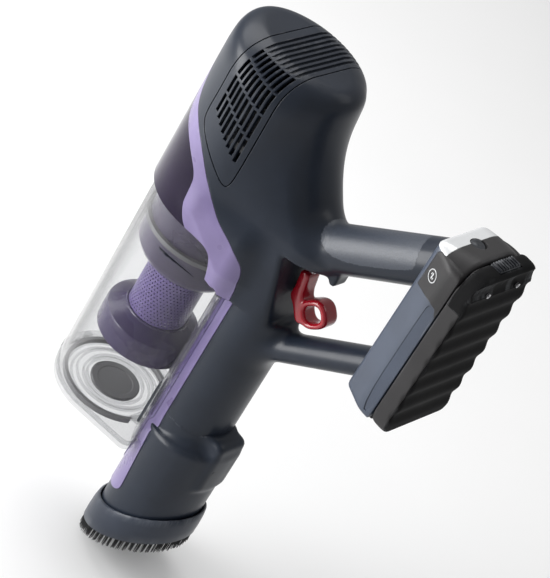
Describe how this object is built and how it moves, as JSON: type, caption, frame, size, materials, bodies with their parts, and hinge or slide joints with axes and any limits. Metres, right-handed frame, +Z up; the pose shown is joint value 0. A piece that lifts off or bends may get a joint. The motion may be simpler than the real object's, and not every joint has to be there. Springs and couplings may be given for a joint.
{
  "type": "cordless stick vacuum handheld unit",
  "caption": "Handheld unit of a cordless stick vacuum: duct with wand socket and sliding brush, clear cyclone bin, motor housing, trigger grip and removable battery.",
  "frame": {"origin": "on the duct axis, at the mouth of the wand socket", "axes": "+Z up the duct towards the motor, +X from the dust bin to the handle and battery, Y across, left side at -Y"},
  "size_m": [0.2318, 0.089, 0.3823],
  "materials": {
    "body_plastic": "satin moulded",
    "collar_plastic": "satin moulded",
    "holder_plastic": "satin moulded",
    "lilac_plastic": "satin gloss",
    "purple_plastic": "tinted, glossy",
    "clear_plastic": "clear, glossy",
    "frosted_plastic": "translucent",
    "smoked_plastic": "smoked, glossy",
    "button_plastic": "fine texture",
    "rubber_seal": "matt",
    "bristle": "stiff filament tufts",
    "foam": "open foam",
    "filter_paper": "pleated paper",
    "dark_plastic": "matt",
    "grip_texture": "fine dimples",
    "steel": "machined",
    "board": "solder mask",
    "contact_metal": "plated",
    "red_plastic": "gloss",
    "display_silver": "gloss",
    "battery_grey": "satin",
    "battery_black": "fine texture",
    "cell_wrap": "shrink wrap"
  },
  "bodies": {
    "root": {"nozzle_body": "body_plastic", "duct_tube": "body_plastic", "inlet_seal": "rubber_seal", "lilac_trim": "lilac_plastic", "smoked_cover": "smoked_plastic", "lilac_band_left": "lilac_plastic", "lilac_band_right": "lilac_plastic", "housing_left": "body_plastic", "housing_right": "body_plastic", "vent_panel_left": "body_plastic", "vent_panel_right": "body_plastic", "motor_bulkhead": "dark_plastic", "motor_mount": "rubber_seal", "motor_can": "steel", "stator": "steel", "lower_bearing": "steel", "upper_bearing": "steel", "exhaust_filter": "filter_paper", "control_board": "board", "trigger_switch": "dark_plastic", "trigger_spring": "steel", "grip_shell_left": "body_plastic", "grip_shell_right": "body_plastic", "grip_inlay": "grip_texture", "lower_bar": "body_plastic", "battery_holder": "holder_plastic", "battery_contacts": "contact_metal", "display_window": "display_silver", "display_board": "board", "bin_spigot_seal": "rubber_seal"},
    "wand_release": {"wand_button": "button_plastic"},
    "brush": {"brush_collar": "collar_plastic", "bristles": "bristle"},
    "bin": {"bin_cup": "clear_plastic", "lid_hinge_pin": "steel", "cyclone_skirt": "purple_plastic", "mesh_filter": "lilac_plastic", "cyclone_cone": "purple_plastic", "cyclone_collar": "frosted_plastic", "collar_seal": "rubber_seal", "foam_filter": "foam"},
    "lid": {"bin_lid": "clear_plastic", "lid_seal": "rubber_seal", "lid_disc": "frosted_plastic"},
    "latch": {"lid_latch": "clear_plastic"},
    "bin_release": {"bin_button": "button_plastic"},
    "impeller": {"fan": "dark_plastic", "rotor": "steel", "motor_shaft": "steel"},
    "trigger": {"trigger": "red_plastic"},
    "mode": {"mode_button": "display_silver"},
    "battery": {"battery_case": "battery_grey", "battery_cells": "cell_wrap", "battery_board": "board", "battery_back": "battery_black", "battery_screws": "steel"},
    "battery_release": {"battery_button": "button_plastic"}
  },
  "joints": [
    {"name": "wand_release_press", "type": "slide", "parent": "root", "child": "wand_release", "axis": [-1, 0, 0], "range_m": [0, 0.002], "stiffness_N_per_m": 600},
    {"name": "brush_slide", "type": "slide", "parent": "root", "child": "brush", "axis": [0, 0, 1], "range_m": [0, 0.012]},
    {"name": "bin_slide", "type": "slide", "parent": "root", "child": "bin", "axis": [0, 0, -1], "range_m": [0, 0.03]},
    {"name": "lid_hinge", "type": "hinge", "parent": "bin", "child": "lid", "pos_m": [-0.1018, 0, 0.0438], "axis": [0, 1, 0], "range_deg": [0, 85]},
    {"name": "latch_press", "type": "slide", "parent": "lid", "child": "latch", "axis": [-1, 0, 0], "range_m": [0, 0.002], "stiffness_N_per_m": 600},
    {"name": "bin_release_press", "type": "slide", "parent": "root", "child": "bin_release", "axis": [1, 0, 0], "range_m": [0, 0.002], "stiffness_N_per_m": 600},
    {"name": "impeller_spin", "type": "hinge", "parent": "root", "child": "impeller", "pos_m": [-0.062, 0, 0.25], "axis": [0, 0, 1], "continuous": true},
    {"name": "trigger_pull", "type": "slide", "parent": "root", "child": "trigger", "axis": [-0.2425, 0, 0.9701], "range_m": [0, 0.005], "stiffness_N_per_m": 900, "deforming": ["trigger_spring"]},
    {"name": "mode_press", "type": "slide", "parent": "root", "child": "mode", "axis": [0, 0, -1], "range_m": [0, 0.0015], "stiffness_N_per_m": 600},
    {"name": "battery_slide", "type": "slide", "parent": "root", "child": "battery", "axis": [0, 0, -1], "range_m": [0, 0.1]},
    {"name": "battery_release_press", "type": "slide", "parent": "battery", "child": "battery_release", "axis": [0, 0, -1], "range_m": [0, 0.0015], "stiffness_N_per_m": 600}
  ]
}
